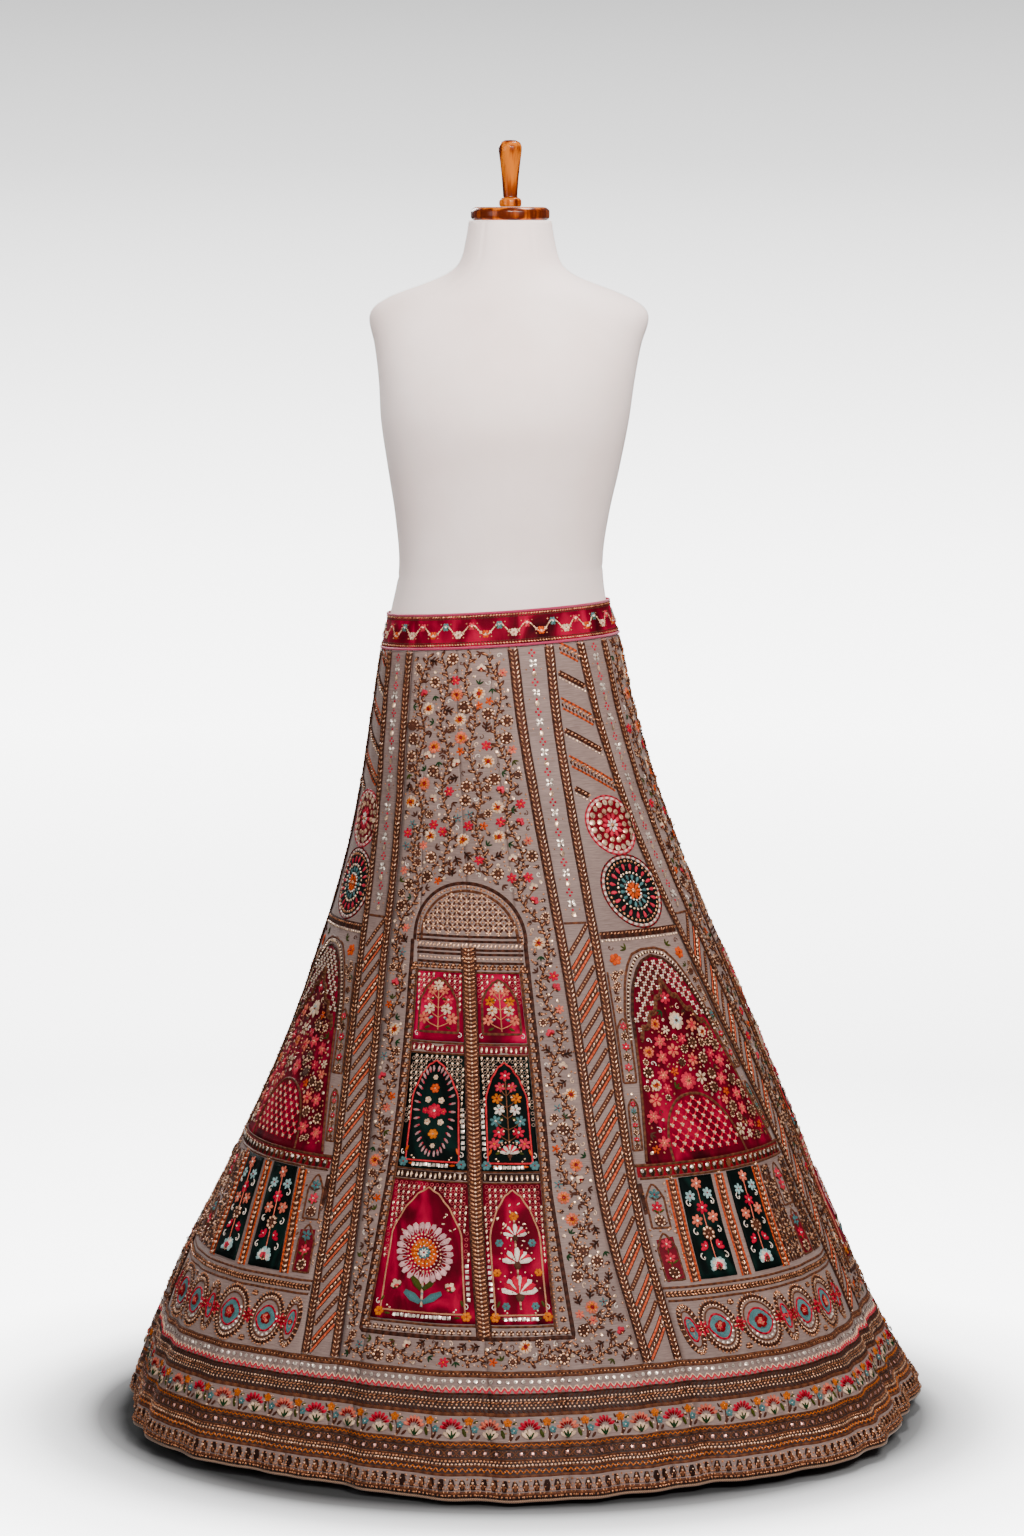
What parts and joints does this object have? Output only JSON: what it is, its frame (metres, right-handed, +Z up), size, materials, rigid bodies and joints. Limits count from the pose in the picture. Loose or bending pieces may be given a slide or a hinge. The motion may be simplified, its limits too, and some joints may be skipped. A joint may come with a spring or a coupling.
{
  "type": "lehenga skirt on a dress form",
  "caption": "Flared gored skirt with raised embroidery bands and velvet appliques, hung by its waistband on a limbless dress form with a round base.",
  "frame": {"origin": "centre of the base's underside, on the floor", "axes": "+Z up along the pole; -Y is the skirt's and the form's front; +X is the viewer's right from the front"},
  "size_m": [1.018, 1.002, 1.62],
  "materials": {
    "silk": "dull mauve-grey silk with dense brown and gold embroidery",
    "velvet_crimson": "crimson silk velvet, soft sheen",
    "velvet_pink": "hot pink silk velvet, soft sheen",
    "velvet_green": "dark green silk velvet, soft sheen",
    "piping": "cream covered cord",
    "linen": "off-white woven cover, matt",
    "wood": "honey-brown lacquered turned wood",
    "steel": "satin steel"
  },
  "bodies": {
    "root": {"arch_gore_back": "silk", "arch_gore_left": "silk", "arch_gore_right": "silk", "base": "steel", "dress_form": "linen", "finial": "wood", "floral_gore_back_left_left": "silk", "floral_gore_back_left_right": "silk", "floral_gore_back_right_left": "silk", "floral_gore_back_right_right": "silk", "floral_gore_front_left": "silk", "floral_gore_front_right": "silk", "hem_piping": "piping", "neck_cap": "wood", "pole": "steel", "stripe_strip_back_left_to_left": "silk", "stripe_strip_back_right_to_back": "silk", "stripe_strip_back_to_back_left": "silk", "stripe_strip_front_to_right": "silk", "stripe_strip_left_to_front": "silk", "stripe_strip_right_to_back_right": "silk", "velvet_arch_back": "velvet_crimson", "velvet_arch_left": "velvet_crimson", "velvet_arch_right": "velvet_crimson", "velvet_crimson_back_left_left": "velvet_crimson", "velvet_crimson_back_left_right": "velvet_crimson", "velvet_crimson_back_right_left": "velvet_crimson", "velvet_crimson_back_right_right": "velvet_crimson", "velvet_crimson_front_left": "velvet_crimson", "velvet_crimson_front_right": "velvet_crimson", "velvet_green_back_left_left": "velvet_green", "velvet_green_back_left_right": "velvet_green", "velvet_green_back_right_left": "velvet_green", "velvet_green_back_right_right": "velvet_green", "velvet_green_front_left": "velvet_green", "velvet_green_front_right": "velvet_green", "velvet_pink_back_left_left": "velvet_pink", "velvet_pink_back_left_right": "velvet_pink", "velvet_pink_back_right_left": "velvet_pink", "velvet_pink_back_right_right": "velvet_pink", "velvet_pink_front_left": "velvet_pink", "velvet_pink_front_right": "velvet_pink", "velvet_tall_back_left": "velvet_green", "velvet_tall_back_right": "velvet_green", "velvet_tall_left_left": "velvet_green", "velvet_tall_left_right": "velvet_green", "velvet_tall_right_left": "velvet_green", "velvet_tall_right_right": "velvet_green", "waistband": "velvet_crimson", "window_gore_back_left_left": "silk", "window_gore_back_left_right": "silk", "window_gore_back_right_left": "silk", "window_gore_back_right_right": "silk", "window_gore_front_left": "silk", "window_gore_front_right": "silk"}
  },
  "joints": []
}
